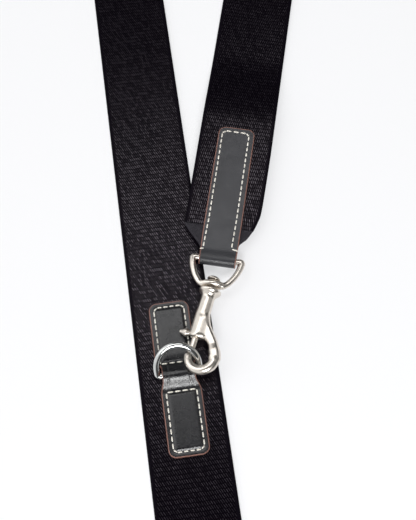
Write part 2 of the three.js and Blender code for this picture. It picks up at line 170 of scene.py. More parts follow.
# Where the fittings lie: strap end frame, level of the tab, pitch of the eye, turns of the snap
ARM = moved(33.2, 65.9) @ turned_by(-16.5, "Z")
HALF_TURN = turned_by(180, "Z")
FITTINGS = {
    "chest_clip": dict(
        place=ARM, level=6.9, eye_pitch=-8, pitch=6.5, roll=-11, yaw=-8.4,
        bodies=("right_arm", "chest_eye", "chest_snap", "chest_bolt"),
    ),
    "left_saddle": free_end("left", moved(0, LEFT_FLEX + END_LENGTH) @ HALF_TURN),
    "right_saddle": free_end("right", ARM @ moved(0, RIGHT_FLEX + END_LENGTH) @ HALF_TURN),
    "girth": free_end("girth", moved(0, GIRTH_FLEX - END_LENGTH)),
}
METRES = Matrix.Scale(0.001, 4)

# View, in m
CAMERA_PLACE = (0.0, -0.1269, 0.5257)
CAMERA_FORWARD = (0.0507, 0.3548, -0.9336)
CAMERA_UP = (0.1322, 0.9242, 0.3584)
CAMERA_LENS = 60
FLOOR_GLOW = 0.56
FLOOR_REACH = 4.0
FLOOR_LEVEL = -0.0002
SIDE_LIGHT = 0.9
ROOM_LIGHT = 0.07
BRIGHT_SIDE = (-0.95, 0.1, -0.25)
LAMP_TARGET = (0.02, 0.1, 0)
LAMPS = (
    ("above", (0.0, 0.52, 1.15), LAMP_TARGET, (1.3, 0.48), 5.0),
    ("left", (-1.15, 0.35, 1.05), LAMP_TARGET, (1.1, 1.5), 4.0),
    ("right", (1.25, 0.1, 0.95), LAMP_TARGET, (0.9, 1.5), 1.6),
    ("front", (0.0, -0.95, 0.85), (0, 0, 0), (0.5, 0.35), 12.0),
)

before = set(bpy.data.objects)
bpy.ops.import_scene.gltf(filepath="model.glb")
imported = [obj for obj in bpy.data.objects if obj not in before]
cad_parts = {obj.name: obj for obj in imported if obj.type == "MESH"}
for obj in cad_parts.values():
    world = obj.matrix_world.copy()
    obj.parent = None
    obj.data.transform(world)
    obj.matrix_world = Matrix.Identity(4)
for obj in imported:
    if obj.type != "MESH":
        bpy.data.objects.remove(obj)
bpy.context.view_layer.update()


# Materials


class Finish:
    """A material and short calls that add nodes to it."""

    def __init__(self, name, color, roughness, **inputs):
        self.material = bpy.data.materials.new(name)
        self.material.use_nodes = True
        self.nodes = self.material.node_tree.nodes
        self.links = self.material.node_tree.links
        self.shader = self.nodes["Principled BSDF"]
        self.put("Base Color", (*color, 1))
        self.put("Roughness", roughness)
        for key, value in inputs.items():
            self.put(key.replace("_", " "), value)

    def put(self, name, value, node=None):
        socket = (node or self.shader).inputs[name]
        if isinstance(value, bpy.types.NodeSocket):
            self.links.new(value, socket)
        else:
            socket.default_value = value

    def add(self, kind, settings=None, **inputs):
        node = self.nodes.new(kind)
        for key, value in (settings or {}).items():
            setattr(node, key, value)
        for key, value in inputs.items():
            self.put(key, value, node)
        return node

    def times(self, first, second):
        return self.math("MULTIPLY", first, second)

    def math(self, operation, first, second=0.0):
        node = self.nodes.new("ShaderNodeMath")
        node.operation = operation
        self.put(0, first, node)
        self.put(1, second, node)
        return node.outputs[0]

    def spread(self, value, low, high, out_low=0.0, out_high=1.0, smooth=False):
        """value from low to high, mapped to out_low to out_high and held beyond."""
        node = self.nodes.new("ShaderNodeMapRange")
        node.interpolation_type = "SMOOTHSTEP" if smooth else "LINEAR"
        for index, number in enumerate((value, low, high, out_low, out_high)):
            self.put(index, number, node)
        return node.outputs["Result"]

    def mix(self, share, first, second):
        node = self.nodes.new("ShaderNodeMix")
        node.data_type = "RGBA"
        self.put("Factor", share, node)
        for index, color in ((6, first), (7, second)):
            if not isinstance(color, bpy.types.NodeSocket):
                color = (*color, 1)
            self.put(index, color, node)
        return node.outputs[2]

    def place(self):
        return self.add("ShaderNodeTexCoord").outputs["Object"]

    def attribute(self, name):
        node = self.add("ShaderNodeAttribute", {"attribute_name": name})
        parts = self.add("ShaderNodeSeparateXYZ", Vector=node.outputs["Vector"])
        return parts.outputs["X"], parts.outputs["Y"]

    def noise(self, scale, detail, roughness=0.5):
        inputs = dict(Vector=self.place(), Scale=scale, Detail=detail, Roughness=roughness)
        return self.add("ShaderNodeTexNoise", **inputs).outputs["Fac"]

    def bump(self, height, distance, strength=1.0, under=None):
        node = self.add("ShaderNodeBump", Strength=strength, Distance=distance, Height=height)
        if under is not None:
            self.links.new(under, node.inputs["Normal"])
        return node.outputs["Normal"]


def elastic_finish():
    """Woven elastic: crosswise rows of short slanted ribs, between two smooth selvedges."""
    finish = Finish("woven_elastic", (0.004, 0.0036, 0.0044), 0.4)

    def from_middle(repeats):
        """Distance from the middle of a repeat, at most a half."""
        return finish.math("ABSOLUTE", finish.math("SUBTRACT", finish.math("FRACT", repeats), 0.5))

    across, along = finish.attribute("cloth")
    leaned = finish.math("ADD", across, finish.times(along, WEAVE_SLANT))
    rib = finish.math("DIVIDE", leaned, WEAVE_PITCH)
    column = finish.math("FLOOR", rib)
    crest = finish.spread(from_middle(rib), 0.28, 0.06, smooth=True)
    offset = finish.add("ShaderNodeTexWhiteNoise", {"noise_dimensions": "1D"}, W=column)
    sway = finish.times(finish.noise(28, 1.0), 0.9)
    loose = finish.math("ADD", sway, finish.times(offset.outputs["Value"], 0.2))
    row = finish.math("ADD", finish.math("DIVIDE", along, WEAVE_ROW), loose)
    span = finish.spread(from_middle(row), 0.5, 0.24, smooth=True)
    side = finish.math("ABSOLUTE", across)
    seam = STRAP_WIDTH / 2 - SELVEDGE
    selvedge = finish.spread(side, seam - 0.3, seam + 0.3, smooth=True)
    body = finish.math("SUBTRACT", 1.0, selvedge)
    ribs = finish.times(finish.times(crest, span), body)
    cell = finish.add("ShaderNodeCombineXYZ", X=column, Y=finish.math("FLOOR", row))
    pattern = {"noise_dimensions": "2D"}
    chance = finish.add("ShaderNodeTexWhiteNoise", pattern, Vector=cell.outputs[0])
    lively = finish.spread(chance.outputs["Value"], 0.0, 1.0, 0.2, 1.0)
    shine = finish.times(ribs, lively)
    cord = finish.times(finish.math("SINE", finish.times(side, 7.0)), 0.25)
    yarn = finish.noise(1900, 3.0)
    dark = finish.mix(yarn, (0.0006, 0.0003, 0.001), (0.0026, 0.0016, 0.0036))
    edge = finish.mix(selvedge, dark, (0.0036, 0.0026, 0.0048))
    # Painted highlight as well as real sheen: the shining rib crests are coloured lighter, besides
    # getting more specular and less roughness below
    finish.put("Base Color", finish.mix(shine, edge, (0.005, 0.003, 0.007)))
    finish.put("Specular IOR Level", finish.spread(shine, 0.0, 1.0, 0.03, 1.0))
    finish.put("Roughness", finish.spread(shine, 0.0, 1.0, 0.3, 0.26))
    finish.put("Specular Tint", (1, 0.9, 1, 1))
    height = finish.math("ADD", ribs, finish.times(cord, selvedge))
    finish.put("Normal", finish.bump(height, 0.00004, 0.5, finish.bump(yarn, 0.00004, 0.4)))
    return finish.material


def binding_finish():
    """The closely woven tape over the tapered end of the webbing."""
    finish = Finish("binding_tape", (0.008, 0.0075, 0.009), 0.6, Specular_IOR_Level=0.2)
    across, along = finish.attribute("cloth")
    warp = finish.math("SINE", finish.times(across, 10.5))
    weft = finish.math("SINE", finish.times(along, 10.5))
    weave = finish.times(warp, weft)
    patch = finish.noise(420, 3.0)
    shade = finish.mix(patch, (0.013, 0.0115, 0.0155), (0.031, 0.028, 0.035))
    raised = finish.spread(weave, -1, 1, 0.0, 0.45)
    finish.put("Base Color", finish.mix(raised, shade, (0.044, 0.041, 0.049)))
    finish.put("Normal", finish.bump(weave, 0.00012, 0.7, finish.bump(patch, 0.0004, 0.5)))
    return finish.material


def leather_finish(name, base, gloss, crease):
    """Finished leather: fine pores, creases where it bends, and worn patches."""
    coat = dict(Coat_Weight=0.12, Coat_Roughness=0.28)
    finish = Finish(name, base, gloss, Specular_IOR_Level=0.55, **coat)
    edges = {"feature": "DISTANCE_TO_EDGE"}
    pores = finish.add("ShaderNodeTexVoronoi", edges, Vector=finish.place(), Scale=1500.0)
    grain = finish.spread(pores.outputs["Distance"], 0.0, 0.22, smooth=True)
    uneven = finish.noise(170, 2.5)
    wear = finish.noise(38, 5.0, roughness=0.6)
    lighter = tuple(1.35 * value for value in base)
    finish.put("Base Color", finish.mix(finish.spread(wear, 0.35, 0.7), base, lighter))
    finish.put("Roughness", finish.spread(uneven, 0.3, 0.7, gloss - 0.05, gloss + 0.09))
    soft = finish.bump(finish.times(uneven, finish.attribute("bend")[0]), crease, 0.35)
    finish.put("Normal", finish.bump(grain, 0.00006, 0.35, soft))
    return finish.material


def edge_finish():
    """The cut edge of the leather, brown and fibrous."""
    finish = Finish("leather_edge", (0.2, 0.09, 0.07), 0.75)
    fibres = finish.noise(1400, 4.0, roughness=0.7)
    finish.put("Base Color", finish.mix(fibres, (0.13, 0.058, 0.045), (0.33, 0.165, 0.13)))
    finish.put("Normal", finish.bump(fibres, 0.0002, 0.6))
    return finish.material


def thread_finish():
    """Waxed cream thread, with the twist of its plies along each stitch."""
    finish = Finish("waxed_thread", (0.85, 0.8, 0.7), 0.5, Sheen_Weight=0.2)
    around, along = finish.attribute("cloth")
    plies = finish.math("SINE", finish.math("ADD", around, finish.times(along, 5.5)))
    lift = finish.spread(plies, -1, 1)
    finish.put("Base Color", finish.mix(lift, (0.72, 0.66, 0.56), (0.97, 0.95, 0.88)))
    finish.put("Normal", finish.bump(lift, 0.00012, 0.8))
    return finish.material


def metal_finish(name, color, gloss, ripple, scratch):
    """Plated metal: a little uneven from casting, with fine handling marks."""
    finish = Finish(name, color, gloss, Metallic=1.0)
    cloud = finish.noise(160, 4.0)
    marks = finish.noise(2600, 2.0)
    duller = tuple(0.82 * value for value in color)
    finish.put("Base Color", finish.mix(finish.spread(cloud, 0.35, 0.75), color, duller))
    finish.put("Roughness", finish.spread(marks, 0.3, 0.75, gloss, gloss + scratch))
    finish.put("Normal", finish.bump(cloud, ripple, 0.3))
    return finish.material


def spring_finish():
    """Drawn spring wire, brushed along its length."""
    finish = Finish("spring_wire", (0.52, 0.52, 0.53), 0.34, Metallic=1.0)
    along = finish.attribute("cloth")[1]
    streak = finish.math("SINE", finish.times(along, 9.0))
    grain = finish.noise(1800, 3.0)
    finish.put("Roughness", finish.spread(grain, 0.3, 0.7, 0.28, 0.45))
    finish.put("Normal", finish.bump(streak, 0.00002, 0.4))
    return finish.material


def floor_finish():
    """Pale seamless paper."""
    finish = Finish("pale_paper", (0.4, 0.4, 0.4), 0.9, Specular_IOR_Level=0.1)
    finish.put("Emission Color", (0.98, 0.985, 1, 1))
    finish.put("Emission Strength", FLOOR_GLOW)
    fibre = finish.noise(900, 3.0)
    finish.put("Base Color", finish.mix(fibre, (0.39, 0.39, 0.395), (0.405, 0.405, 0.41)))
    return finish.material


ELASTIC = elastic_finish()
TAPE = binding_finish()
LEATHER = leather_finish("satin_leather", (0.016, 0.0163, 0.02), 0.38, 0.0004)
CHEST_LEATHER = leather_finish("glossy_leather", (0.005, 0.005, 0.0065), 0.22, 0.00045)
LEATHER_EDGE = edge_finish()
THREAD = thread_finish()
CHROME = metal_finish("polished_chrome", (0.69, 0.7, 0.69), 0.05, 0.00004, 0.05)
NICKEL = metal_finish("satin_nickel", (0.78, 0.72, 0.65), 0.25, 0.00008, 0.08)
SPRING = spring_finish()


# Meshes


def add_object(name, data):
    thing = bpy.data.objects.new(name, data)
    bpy.context.scene.collection.objects.link(thing)
    return thing


def add_piece(name, points, faces, place, materials, cloth=None, edges=(), bend=None):
    """A mesh object from points in mm in the frame of place.

    cloth holds a material position for each point, edges the faces of the second material, and
    bend how creased the leather is at each point.
    """
    matrix = np.array(METRES @ place)
    world = np.asarray(points, float) @ matrix[:3, :3].T + matrix[:3, 3]
    mesh = bpy.data.meshes.new(name)
    mesh.from_pydata(world.tolist(), [], [tuple(map(int, face)) for face in faces])
    for material in materials:
        mesh.materials.append(material)
    mesh.polygons.foreach_set("use_smooth", np.ones(len(mesh.polygons), bool))
    if len(edges):
        indices = np.zeros(len(mesh.polygons), np.int32)
        indices[edges] = 1
        mesh.polygons.foreach_set("material_index", indices)
    if cloth is not None:
        values = np.zeros((len(points), 3), np.float32)
        values[:, : np.shape(cloth)[1]] = cloth
        attribute = mesh.attributes.new("cloth", "FLOAT_VECTOR", "POINT")
        attribute.data.foreach_set("vector", values.ravel())
    if bend is not None:
        attribute = mesh.attributes.new("bend", "FLOAT", "POINT")
        attribute.data.foreach_set("value", np.asarray(bend, np.float32))
    mesh.validate()
    mesh.update()
    return add_object(name, mesh)


def smoothstep(value, low, high):
    share = np.clip((np.asarray(value, float) - low) / (high - low), 0, 1)
    return share * share * (3 - 2 * share)


def lengths_along(path):
    """Length from the start of a polyline to each of its points."""
    return np.concatenate([[0], np.cumsum(np.linalg.norm(np.diff(path, axis=0), axis=1))])


def resampled(line, steps):
    """Points of a line at these lengths along it."""
    line = np.asarray(line, float)
    lengths = lengths_along(line)
    return np.stack([np.interp(steps, lengths, line[:, k]) for k in range(line.shape[1])], 1)


def side_at(y, knots):
    """x at each y, on a side given by knots of (x, y)."""
    knots = np.asarray(knots, float)
    return np.interp(y, knots[:, 1], knots[:, 0])


def rounded(distance, radius):
    """How far a surface drops at this distance from a rim of this radius."""
    depth = np.clip(distance, 0, radius)
    return radius - np.sqrt(np.maximum(radius**2 - (radius - depth) ** 2, 0))


def groove(distance, width):
    """1 in the middle of a groove or fold, falling off over this width."""
    return np.exp(-((distance / width) ** 2))


def spline(points, per_span=8):
    """A smooth curve through 2-D or 3-D points."""
    points = np.asarray(points, float)
    padded = np.vstack([2 * points[0] - points[1], points, 2 * points[-1] - points[-2]])
    curve = []
    for i in range(1, len(padded) - 2):
        a, b, c, d = padded[i - 1 : i + 3]
        for t in np.arange(per_span) / per_span:
            slope = (c - a) * t
            bend = (2 * a - 5 * b + 4 * c - d) * t**2
            turn = (3 * b - a - 3 * c + d) * t**3
            curve.append(0.5 * (2 * b + slope + bend + turn))
    curve.append(points[-1])
    return np.array(curve)


def tube(path, radii, sides, closed=False):
    """Points, faces and (turn, length) of a tube along a path; an open one has flat ends."""
    path = np.asarray(path, float)
    count = len(path)
    radii = np.broadcast_to(np.asarray(radii, float), count)
    ahead = np.roll(path, -1, 0) - np.roll(path, 1, 0)
    if not closed:
        ahead[0] = path[1] - path[0]
        ahead[-1] = path[-1] - path[-2]
    ahead /= np.linalg.norm(ahead, axis=1)[:, None]
    helper = np.eye(3)[np.argmin(np.abs(ahead).max(0))]
    normal = helper - ahead[0] * (helper @ ahead[0])
    normals = []
    for direction in ahead:
        normal = normal - direction * (normal @ direction)
        normal = normal / np.linalg.norm(normal)
        normals.append(normal)
    normals = np.array(normals)
    sideways = np.cross(ahead, normals)
    turns = np.arange(sides) * math.tau / sides
    cosines, sines = np.cos(turns)[None, :, None], np.sin(turns)[None, :, None]
    ring = normals[:, None] * cosines + sideways[:, None] * sines
    points = (path[:, None] + ring * radii[:, None, None]).reshape(-1, 3)
    cloth = np.stack([np.tile(turns, count), np.repeat(lengths_along(path), sides)], 1)
    faces = []
    for i in range(count if closed else count - 1):
        j = (i + 1) % count
        for k in range(sides):
            m = (k + 1) % sides
            faces.append((i * sides + k, i * sides + m, j * sides + m, j * sides + k))
    if not closed:
        faces.append(tuple(reversed(range(sides))))
        faces.append(tuple(range((count - 1) * sides, count * sides)))
    return points, faces, cloth


def turned(profile, sides):
    """Points and faces of a lathe shape about Y, from (radius, y) pairs that begin and end on it."""
    turns = np.arange(sides) * math.tau / sides
    points = [(0, profile[0][1], 0)]
    for radius, y in profile[1:-1]:
        points += [(radius * math.cos(turn), y, radius * math.sin(turn)) for turn in turns]
    points.append((0, profile[-1][1], 0))
    last = len(points) - 1
    rings = len(profile) - 2
    faces = []
    for k in range(sides):
        m = (k + 1) % sides
        faces.append((0, 1 + k, 1 + m))
        faces.append((last, last - sides + m, last - sides + k))
        for i in range(rings - 1):
            start = 1 + i * sides
            faces.append((start + k, start + sides + k, start + sides + m, start + m))
    return np.array(points, float), faces


def shares_across(rim, inset, count):
    """Shares of a width: those of the rim at both sides, and even ones between the insets."""
    return np.concatenate([rim, np.linspace(inset, 1 - inset, count), 1 - rim[::-1]])


def on_sheets(values, columns):
    """A value for each row, repeated for every point of a slab's two sheets."""
    return np.tile(np.repeat(values, len(columns)), 2)


def slab(line, left, right, top, bottom, columns):
    """A closed sheet along a side view line of (y, z), from left to right at each of its points.

    top and bottom give each surface's distance from the line, for arrays of (x, length along the
    line). columns are the shares of the width where the points lie. Returns points, faces, the
    numbers of the faces on the rim, and (x, length) for each point.
    """
    line = np.asarray(line, float)
    ahead = np.gradient(line, axis=0)
    ahead /= np.linalg.norm(ahead, axis=1)[:, None]
    out = np.stack([-ahead[:, 1], ahead[:, 0]], 1)
    x = left[:, None] + (right - left)[:, None] * np.asarray(columns)[None, :]
    s = np.broadcast_to(lengths_along(line)[:, None], x.shape)
    sheets = []
    for offset in (top(x, s), -bottom(x, s)):
        y = line[:, 0, None] + out[:, 0, None] * offset
        z = line[:, 1, None] + out[:, 1, None] * offset
        sheets.append(np.stack([x, y, z], -1).reshape(-1, 3))
    points = np.vstack(sheets)
    cloth = np.tile(np.stack([x, s], -1).reshape(-1, 2), (2, 1))
    grid = np.arange(x.size).reshape(x.shape)
    half = x.size
    corners = (grid[:-1, :-1], grid[:-1, 1:], grid[1:, 1:], grid[1:, :-1])
    faces = []
    for a, b, c, d in zip(*(corner.ravel() for corner in corners)):
        faces.append((a, b, c, d))
        faces.append((half + d, half + c, half + b, half + a))
    around = [*grid[0], *grid[1:, -1], *grid[-1, -2::-1], *grid[-2:0:-1, 0]]
    first_rim = len(faces)
    for a, b in zip(around, around[1:] + around[:1]):
        faces.append((b, a, half + a, half + b))
    return points, faces, np.arange(first_rim, len(faces)), cloth


def surface(distance, low, high, step):
    """Points and faces of the surface where a signed distance function is zero."""
    axes = [np.arange(a, b + step, step) for a, b in zip(low, high)]
    grid = np.stack(np.meshgrid(*axes, indexing="ij"), -1)
    value = distance(grid.reshape(-1, 3)).reshape(grid.shape[:3])
    shape = tuple(n - 1 for n in value.shape)
    total = np.zeros((*shape, 3))
    count = np.zeros(shape)

    def window(offset):
        return tuple(slice(o, o + n) for o, n in zip(offset, shape))

    for axis in range(3):
        step_on = np.eye(3, dtype=int)[axis]
        others = [k for k in range(3) if k != axis]
        for pair in np.ndindex(2, 2):
            start = np.zeros(3, int)
            start[others] = pair
            near, far = value[window(start)], value[window(start + step_on)]
            crossing = (near < 0) != (far < 0)
            share = np.where(crossing, near / np.where(crossing, near - far, 1), 0)
            point = grid[window(start)] + share[..., None] * step * step_on
            total += np.where(crossing[..., None], point, 0)
            count += crossing
    active = count > 0
    number = np.full(shape, -1)
    number[active] = np.arange(active.sum())
    points = total[active] / count[active][:, None]
    faces = []
    for axis in range(3):
        one, two = [(axis + 1) % 3, (axis + 2) % 3]
        near = np.take(value, range(value.shape[axis] - 1), axis) < 0
        far = np.take(value, range(1, value.shape[axis]), axis) < 0
        cells = np.argwhere(near != far)
        beside = cells[:, [one, two]]
        cells = cells[((beside > 0) & (beside < np.array(shape)[[one, two]])).all(1)]
        outward = near[tuple(cells.T)]
        corners = []
        for a, b in ((0, 0), (1, 0), (1, 1), (0, 1)):
            shifted = cells.copy()
            shifted[:, one] -= a
            shifted[:, two] -= b
            corners.append(number[tuple(shifted.T)])
        quads = np.stack(corners, 1)
        quads[~outward] = quads[~outward][:, ::-1]
        faces.append(quads)
    return settle(distance, points), np.vstack(faces)


def settle(distance, points):
    """Moves points onto the surface of a distance function, a little at a time."""
    probe, farthest, least_slope = 0.04, 0.15, 0.3
    for _ in range(3):
        value = distance(points)
        rises = [distance(points + axis) - distance(points - axis) for axis in probe * np.eye(3)]
        slope = np.stack(rises, 1) / (2 * probe)
        size = np.maximum((slope**2).sum(1), least_slope)
        points = points - np.clip(value / size, -farthest, farthest)[:, None] * slope
    return points


def outline_distance(points, outline):
    """Signed distance in the plane to a closed outline, negative inside."""
    outline = np.asarray(outline, float)
    nearest = np.full(len(points), np.inf)
    inside = np.zeros(len(points), bool)
    for a, b in zip(outline, np.roll(outline, -1, 0)):
        side = b - a
        offset = points - a
        share = np.clip(offset @ side / max(side @ side, 1e-12), 0, 1)
        nearest = np.minimum(nearest, ((offset - share[:, None] * side) ** 2).sum(1))
        if a[1] != b[1]:
            spans = (a[1] > points[:, 1]) != (b[1] > points[:, 1])
            meets = a[0] + (points[:, 1] - a[1]) / side[1] * side[0]
            inside ^= spans & (points[:, 0] < meets)
    return np.where(inside, -1, 1) * np.sqrt(nearest)


def joined(a, b, fillet):
    """The union of two distances with a fillet of about that radius."""
    blend = np.maximum(fillet - np.abs(a - b), 0) / fillet
    return np.minimum(a, b) - blend * blend * fillet / 4


def rod_distance(points, start, end, radius):
    start, end = np.array(start, float), np.array(end, float)
    along = end - start
    share = np.clip((points - start) @ along / (along @ along), 0, 1)
    return np.linalg.norm(points - start - share[:, None] * along, axis=1) - radius


# Straps


def arm_heights(along, level, slope):
    """Height of the middle of an arm's webbing: level in its tab, then down to the floor."""
    return level + (STRAP_MIDDLE - level) * smoothstep(along, SLOPE_START, SLOPE_START + slope)


def taper_right(along):
    """Right side of a tapered webbing end, from the tape to the full width."""
    return side_at(along, spline(TAPER_RIGHT))


def webbing(name, place, start, end, heights, taper=None):
    """A run of elastic with rounded selvedges and a groove inside each.

    heights(y) gives the level of its middle, and taper(y) its right side where it isn't straight.
    """
    half = STRAP_WIDTH / 2
    even = np.linspace(start, end, int(abs(end - start) / ROW_STEP) + 1)
    step = math.copysign(END_ROW, end - start)
    y = np.concatenate([[start, start + step], even[1:-1], [end - step, end]])
    line = np.stack([y, heights(y)], 1)
    left = np.full(len(y), -half)
    right = taper(y) if taper else np.full(len(y), half)
    rim = np.array([0, 0.12, 0.4, 0.9, 1.6]) / STRAP_WIDTH
    columns = shares_across(rim, SELVEDGE / STRAP_WIDTH, 44)

    def relief(x, s):
        beside = np.minimum(x - left[:, None], right[:, None] - x)
        dip = SELVEDGE_GROOVE * groove(beside - SELVEDGE, 0.45)
        return STRAP_MIDDLE - rounded(beside, STRAP_ROUNDING) - dip

    points, faces, sides, cloth = slab(line, left, right, relief, relief, columns)
    share = (cloth[:, 0] + half) / on_sheets(right + half, columns)
    cloth = np.stack([STRAP_WIDTH * share - half, on_sheets(y, columns)], 1)
    piece = add_piece(name, points, faces, place, [ELASTIC], cloth)
    smooth = np.ones(len(faces), bool)
    smooth[sides] = False
    piece.data.polygons.foreach_set("use_smooth", smooth)
    return piece


def at(place, y, height=STRAP_MIDDLE):
    """The point at this y and height in a frame, in metres."""
    return METRES @ place @ Vector((0, y, height))


def finish_strap(piece, nodes):
    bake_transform(piece)
    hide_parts(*nodes)


def flat(along):
    return np.full(len(along), STRAP_MIDDLE)


def main_strap():
    """The straight strap, in two runs from a seam under the chest tab."""
    world = Matrix.Identity(4)
    piece = webbing("main_strap", world, MAIN_SEAM, LEFT_MIDDLE, flat)
    finish_strap(
        piece, ["chest_webbing", "left_middle_webbing"],
    )
    piece = webbing("girth_strap", world, MAIN_SEAM, GIRTH_MIDDLE, flat)
    finish_strap(
        piece, ["girth_middle_webbing"],
    )


def right_strap():
    level = FITTINGS["chest_clip"]["level"]
    piece = webbing(
        "right_strap", ARM, TAPE_END - TAPE_LAP, RIGHT_MIDDLE,
        lambda y: arm_heights(y, level, ARM_SLOPE), taper_right,
    )
    finish_strap(
        piece, ["right_webbing", "right_middle_webbing"],
    )


def strap_end(prefix, length):
    """The last run of a strap, from its middle body to the tape, in its fitting's frame."""
    fitting = FITTINGS[prefix]
    piece = webbing(
        f"{prefix}_strap", fitting["place"], TAPE_END - TAPE_LAP, length,
        lambda y: arm_heights(y, fitting["level"], END_SLOPE), taper_right,
    )
    before = at(fitting["place"], END_LENGTH + FLEX_REACH)
    after = at(fitting["place"], END_LENGTH - FLEX_REACH)
    nodes = [f"{prefix}_end_webbing"]
    finish_strap(piece, nodes)


# Leather tabs


def end_steps(radius):
    """Distances from a tab's end that follow its rounded rim and corners."""
    rim = [0, 0.12, 0.3, 0.6]
    return rim + [radius * (1 - math.cos(math.radians(a))) for a in (32, 42, 52, 61, 70, 80, 90)]


def inner_distance(x, s, sides, total):
    """Distance from the outline of a tab with rounded ends; sides gives its straight sides."""
    left, right = sides
    beside = np.minimum(x - left[:, None], right[:, None] - x)
    before = np.minimum(s, total - s)
    corner = CORNER_RADIUS - np.hypot(CORNER_RADIUS - beside, CORNER_RADIUS - before)
    near = (beside < CORNER_RADIUS) & (before < CORNER_RADIUS)
    return np.maximum(np.where(near, corner, np.minimum(beside, before)), 0)


def tab_mesh(name, place, line, sides, relief, bends, material):
    """A leather tab along a side view line of (y, z).

    sides(y) gives its left and right sides, relief(x, s, distance from the rim) lifts its top,
    and bends(y) tells how creased it is.
    """
    total = lengths_along(line)[-1]
    ends = np.array(end_steps(CORNER_RADIUS))
    middle = np.arange(CORNER_RADIUS + 0.7, total - CORNER_RADIUS - 0.3, 0.7)
    steps = np.concatenate([ends, middle, total - ends[::-1]])
    path = resampled(line, steps)
    left, right = sides(path[:, 0])
    inward = rounded(np.minimum(steps, total - steps), CORNER_RADIUS)
    width = (right - left).mean()
    rim = np.array([0, 0.12, 0.3, 0.6, 0.95]) / width
    columns = shares_across(rim, 1.5 / width, 34)

    def top(x, s):
        distance = inner_distance(x, s, (left, right), total)
        return LEATHER_THICKNESS / 2 - rounded(distance, 0.5) + relief(x, s, distance)

    def bottom(x, s):
        distance = inner_distance(x, s, (left, right), total)
        return LEATHER_THICKNESS / 2 - rounded(distance, 0.35)

    points, faces, _, cloth = slab(path, left + inward, right - inward, top, bottom, columns)
    shape = (len(steps), len(columns))
    x, s = (cloth[: len(cloth) // 2, k].reshape(shape) for k in (0, 1))
    depth = np.tile(inner_distance(x, s, (left, right), total).ravel(), 2)
    cut = np.flatnonzero(depth[np.array(faces)].mean(1) < EDGE_SHOWN)
    bend = on_sheets(bends(path[:, 0]), columns)
    return add_piece(name, points, faces, place, [material, LEATHER_EDGE], cloth, cut, bend)


def stitched(name, place, rows):
    """Stitches as short threads that sink at both ends. rows holds (start, end, up) of each."""
    points, faces, cloth = [], [], []
    first = 0
    shares = np.array([0, 0.08, 0.2, 0.4, 0.6, 0.8, 0.92, 1])
    lift = np.array([-0.25, -0.02, 0.17, 0.24, 0.24, 0.17, -0.02, -0.25])
    radii = THREAD_RADIUS * np.array([0.55, 0.85, 1, 1, 1, 1, 0.85, 0.55])
    for start, end, up in rows:
        start, end, up = np.array(start), np.array(end), np.array(up)
        path = start + shares[:, None] * (end - start) + lift[:, None] * up
        made, quads, where = tube(path, radii, 10)
        faces += [tuple(first + index for index in face) for face in quads]
        first += len(made)
        points.append(made)
        cloth.append(where)
    return add_piece(name, np.vstack(points), faces, place, [THREAD], np.vstack(cloth))


def run_of_stitches(path, up):
    """Even stitches along a polyline of points."""
    room = lengths_along(path)[-1] + STITCH_PITCH - STITCH_LENGTH
    count = max(1, round(room / STITCH_PITCH))
    pitch = room / count
    length = STITCH_LENGTH + pitch - STITCH_PITCH
    return [(*resampled(path, [i * pitch, i * pitch + length]), up) for i in range(count)]


def arm_tab_line():
    """Side view of a tab that folds round the bar of its eye, from its upper end to its lower end."""
    fold = EYE_WIRE + FOLD_GAP + LEATHER_THICKNESS / 2
    leaf = STRAP_MIDDLE + LEATHER_GAP + LEATHER_THICKNESS / 2
    bar = fold + LEATHER_THICKNESS / 2
    flat_end = TAPE_START - TAPE_LAP
    eased = np.linspace(flat_end, bar, 12)[1:]
    heights = leaf + (fold - leaf) * smoothstep(flat_end - eased, 0, flat_end - bar)
    upper = [(TAB_LENGTH, leaf), (flat_end, leaf), *zip(eased, heights)]
    angles = np.radians(np.linspace(90, 270, 25)[1:-1])
    reach = fold + FOLD_SLACK
    turn = [(bar + reach * math.cos(a), fold * math.sin(a)) for a in angles]
    lower = [(y, -z) for y, z in reversed(upper)]
    return np.array(upper + turn + lower)


def arm_tab(prefix):
    fitting = FITTINGS[prefix]
    place = fitting["place"] @ moved(0, 0, fitting["level"])
    line = arm_tab_line()
    total = lengths_along(line)[-1]
    leaf = TAB_LENGTH - 13

    def sides(y):
        half = np.interp(y, [3, 20], [FOLD_WIDTH / 2, TAB_WIDTH / 2])
        return -half, half

    def relief(x, s, distance):
        inset = STITCH_INSET + STITCH_SHIFT * np.clip(x / 6, -1, 1)
        panel = TAB_GROOVE * smoothstep(distance, inset + 0.3, inset + 2.2)
        on_leaf = smoothstep(leaf - np.minimum(s, total - s), -3, 1)
        return (panel - TAB_GROOVE * groove(distance - inset, GROOVE_WIDTH)) * on_leaf

    def bends(y):
        return 0.6 * smoothstep(-y, -12, -3)

    piece = tab_mesh(f"{prefix}_tab_leather", place, line, sides, relief, bends, LEATHER)
    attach(piece, fitting["bodies"][0])
    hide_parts(f"{prefix}_tab")
    arm_stitches(prefix, place)


